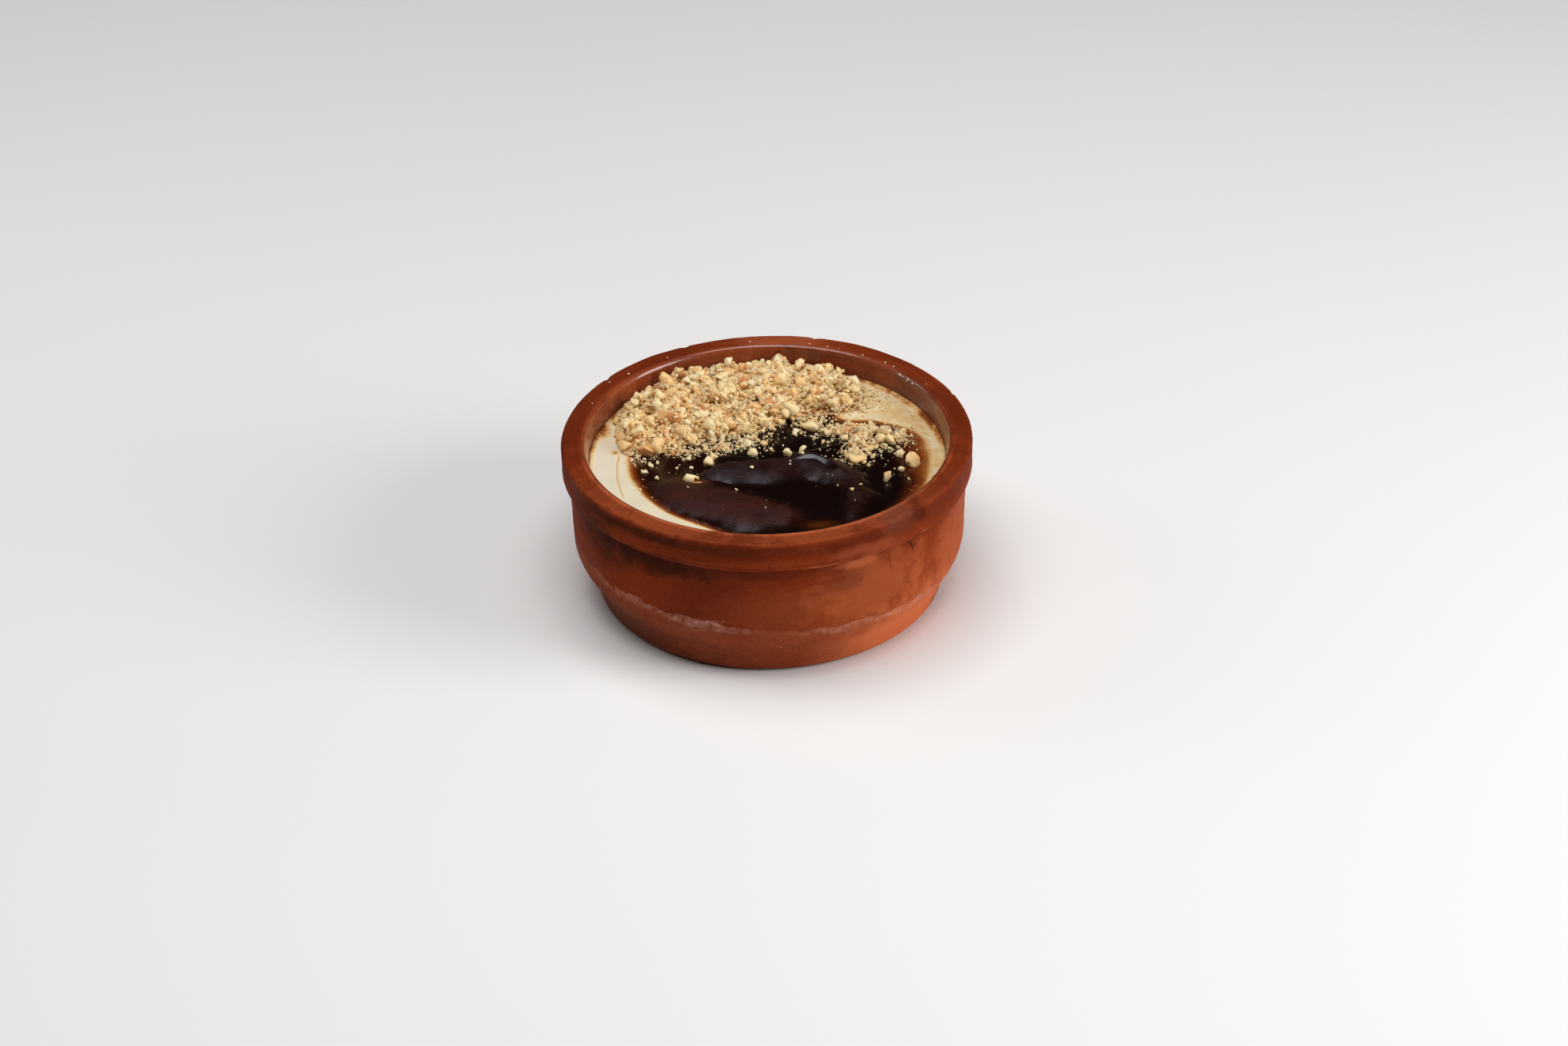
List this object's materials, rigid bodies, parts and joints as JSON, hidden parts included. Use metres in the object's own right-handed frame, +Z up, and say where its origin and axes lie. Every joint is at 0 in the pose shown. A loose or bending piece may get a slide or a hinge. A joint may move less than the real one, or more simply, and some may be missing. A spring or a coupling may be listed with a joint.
{
  "type": "baked rice pudding in a bowl",
  "caption": "Set rice pudding with a dark baked, folded skin and a heap of chopped hazelnuts, filling a round unglazed earthenware bowl with a thick rim band.",
  "frame": {"origin": "centre of the bowl's flat base, on the surface it stands on", "axes": "+Z up along the bowl's axis, -Y towards the front of the dish, +X to the right with the heap of nuts at the back"},
  "size_m": [0.12, 0.12, 0.0487],
  "materials": {
    "earthenware": "matte",
    "baked_skin": "satin",
    "hazelnut": "matte"
  },
  "bodies": {
    "root": {"bowl": "earthenware", "pudding": "baked_skin", "hazelnut_heap": "hazelnut"}
  },
  "joints": []
}
